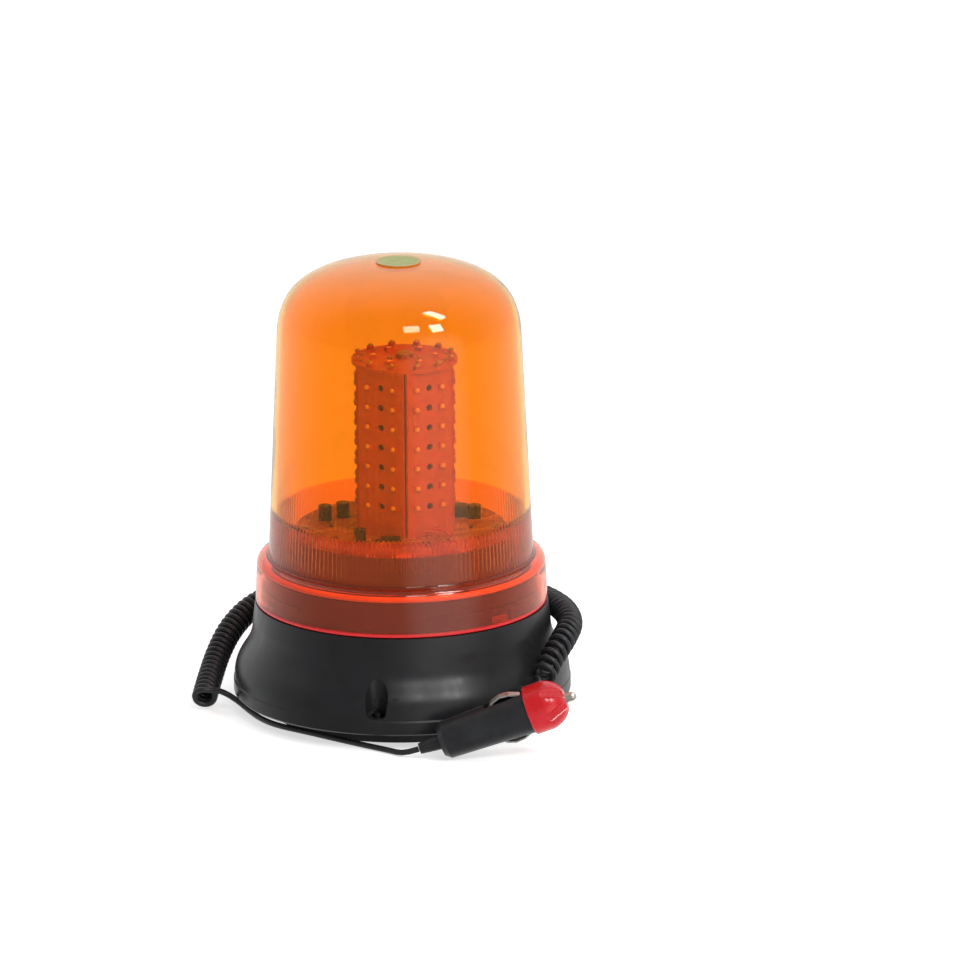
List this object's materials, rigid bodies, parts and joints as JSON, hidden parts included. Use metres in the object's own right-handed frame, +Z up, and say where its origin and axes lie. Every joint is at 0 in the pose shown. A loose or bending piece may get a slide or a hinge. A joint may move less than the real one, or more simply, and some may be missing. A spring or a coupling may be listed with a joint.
{
  "type": "led safety flare",
  "caption": "Magnetic amber LED warning beacon: tapered ribbed dome on a flared black base, six-sided LED tower, coiled cord and 12 V plug",
  "frame": {"origin": "centre of the foot's underside, on the surface it stands on", "axes": "+Z up along the beacon's axis, -Y the front, +X the right side, where the cord leaves the base"},
  "size_m": [0.1857, 0.1859, 0.2164],
  "materials": {
    "pad_rubber": "matt moulded rubber",
    "plated_steel": "zinc plated",
    "ferrite": "sintered, matt",
    "base_black": "moulded, semi-gloss",
    "seal_orange": "smooth",
    "lens_amber": "clear, polished",
    "label_sheet": "printed film, satin",
    "board_laminate": "solder resist, satin",
    "panel_laminate": "solder resist, satin",
    "led_package": "moulded, clear window",
    "capacitor_can": "sleeved can",
    "component_black": "moulded",
    "core_plastic": "moulded, matt",
    "solder_tin": "tinned",
    "wire_red": "insulation",
    "wire_black": "insulation",
    "cord_black": "smooth cord jacket",
    "plug_black": "moulded, semi-gloss",
    "plug_red": "moulded, glossy",
    "contact_nickel": "nickel plated",
    "fuse_glass": "clear tube with plated caps"
  },
  "bodies": {
    "base": {"foot_pad": "pad_rubber", "magnet_cup": "plated_steel", "magnet_ring": "ferrite", "magnet_bolt": "plated_steel", "magnet_nut": "plated_steel", "base_plate": "base_black", "base_housing": "base_black", "housing_screws": "plated_steel", "cable_gland": "cord_black", "gland_nut": "base_black", "lens_seal": "seal_orange", "board_pillars": "plated_steel", "driver_board": "board_laminate", "board_screws": "plated_steel", "board_capacitors": "capacitor_can", "board_inductor": "component_black", "board_regulator": "component_black", "board_resistors": "component_black", "tower_core": "core_plastic", "top_board": "panel_laminate", "top_leds": "led_package", "top_pins": "solder_tin", "tower_bolt": "plated_steel", "tower_nut": "plated_steel", "supply_wire_positive": "wire_red", "supply_wire_negative": "wire_black", "tower_wires": "wire_red", "cord_lead": "cord_black", "cord_coil": "cord_black", "cord_tail": "cord_black", "plug_strain_relief": "cord_black", "plug_body": "plug_black", "plug_screw": "plated_steel", "plug_spring": "plated_steel", "plug_fuse": "fuse_glass", "led_panel_1": "panel_laminate", "panel_leds_1": "led_package", "led_panel_2": "panel_laminate", "panel_leds_2": "led_package", "led_panel_3": "panel_laminate", "panel_leds_3": "led_package", "led_panel_4": "panel_laminate", "panel_leds_4": "led_package", "led_panel_5": "panel_laminate", "panel_leds_5": "led_package", "led_panel_6": "panel_laminate", "panel_leds_6": "led_package"},
    "lens": {"lens_dome": "lens_amber", "top_label": "label_sheet"},
    "nose_cap": {"plug_cap": "plug_red"},
    "centre_pin": {"plug_pin": "contact_nickel"},
    "contact_upper": {"plug_contact_upper": "contact_nickel"},
    "contact_lower": {"plug_contact_lower": "contact_nickel"}
  },
  "joints": [
    {"name": "lens_twist", "type": "hinge", "parent": "base", "child": "lens", "pos_m": [0, 0, 0.06], "axis": [0, 0, 1], "range_deg": [-40, 0]},
    {"name": "cap_turn", "type": "hinge", "parent": "base", "child": "nose_cap", "pos_m": [0.06652, -0.09023, 0.02578], "axis": [0.9388, -0.041, 0.3419], "range_deg": [0, 270]},
    {"name": "pin_press", "type": "slide", "parent": "nose_cap", "child": "centre_pin", "axis": [-0.9388, 0.041, -0.3419], "range_m": [0, 0.0025], "stiffness_N_per_m": 400, "deforming": ["plug_spring"]},
    {"name": "contact_upper_flex", "type": "hinge", "parent": "base", "child": "contact_upper", "pos_m": [0.04013, -0.08993, 0.024], "axis": [0.0043, 0.9942, 0.1073], "range_deg": [0, 5], "stiffness_Nm_per_rad": 0.3},
    {"name": "contact_lower_flex", "type": "hinge", "parent": "base", "child": "contact_lower", "pos_m": [0.04522, -0.08846, 0.01019], "axis": [-0.0043, -0.9942, -0.1073], "range_deg": [0, 5], "stiffness_Nm_per_rad": 0.3}
  ]
}
